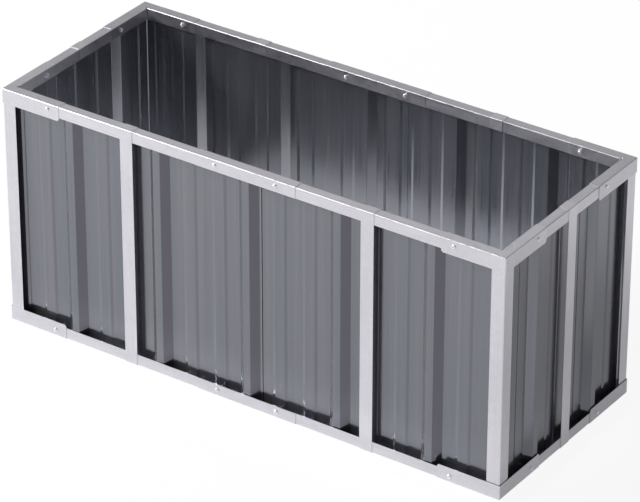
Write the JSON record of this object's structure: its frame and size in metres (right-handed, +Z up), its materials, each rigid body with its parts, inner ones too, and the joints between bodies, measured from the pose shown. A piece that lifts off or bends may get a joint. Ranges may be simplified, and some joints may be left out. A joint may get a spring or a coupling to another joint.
{
  "type": "raised garden bed",
  "caption": "Rectangular open-bottomed planting bed: lapped corrugated sheets held in a screwed frame of folded channels, corner angles and strap posts.",
  "frame": {"origin": "centre of the footprint, on the ground", "axes": "+X along the bed's length, +Y from the front wall to the rear wall, +Z up"},
  "size_m": [1.0042, 0.4042, 0.45],
  "materials": {
    "frame_zinc": "light silver, satin, fine grain",
    "panel_paint": "dark grey, glossy",
    "fastener": "bright zinc plate"
  },
  "bodies": {
    "root": {"bottom_corner_shoe_front_left": "frame_zinc", "bottom_corner_shoe_front_right": "frame_zinc", "bottom_corner_shoe_rear_left": "frame_zinc", "bottom_corner_shoe_rear_right": "frame_zinc", "bottom_rail_end_left": "frame_zinc", "bottom_rail_end_right": "frame_zinc", "bottom_rail_front_left": "frame_zinc", "bottom_rail_front_right": "frame_zinc", "bottom_rail_rear_left": "frame_zinc", "bottom_rail_rear_right": "frame_zinc", "bottom_rail_sleeve_front": "frame_zinc", "bottom_rail_sleeve_rear": "frame_zinc", "corner_post_front_left": "frame_zinc", "corner_post_front_right": "frame_zinc", "corner_post_rear_left": "frame_zinc", "corner_post_rear_right": "frame_zinc", "mid_post_end_left": "frame_zinc", "mid_post_end_right": "frame_zinc", "mid_post_front_left": "frame_zinc", "mid_post_front_right": "frame_zinc", "mid_post_rear_left": "frame_zinc", "mid_post_rear_right": "frame_zinc", "nuts_end_left": "fastener", "nuts_end_right": "fastener", "nuts_front": "fastener", "nuts_rear": "fastener", "panel_end_left": "panel_paint", "panel_end_right": "panel_paint", "panel_front_left": "panel_paint", "panel_front_right": "panel_paint", "panel_rear_left": "panel_paint", "panel_rear_right": "panel_paint", "screws_end_left": "fastener", "screws_end_right": "fastener", "screws_front": "fastener", "screws_rear": "fastener", "top_corner_cap_front_left": "frame_zinc", "top_corner_cap_front_right": "frame_zinc", "top_corner_cap_rear_left": "frame_zinc", "top_corner_cap_rear_right": "frame_zinc", "top_rail_end_left": "frame_zinc", "top_rail_end_right": "frame_zinc", "top_rail_front_left": "frame_zinc", "top_rail_front_right": "frame_zinc", "top_rail_rear_left": "frame_zinc", "top_rail_rear_right": "frame_zinc", "top_rail_sleeve_front": "frame_zinc", "top_rail_sleeve_rear": "frame_zinc"}
  },
  "joints": []
}
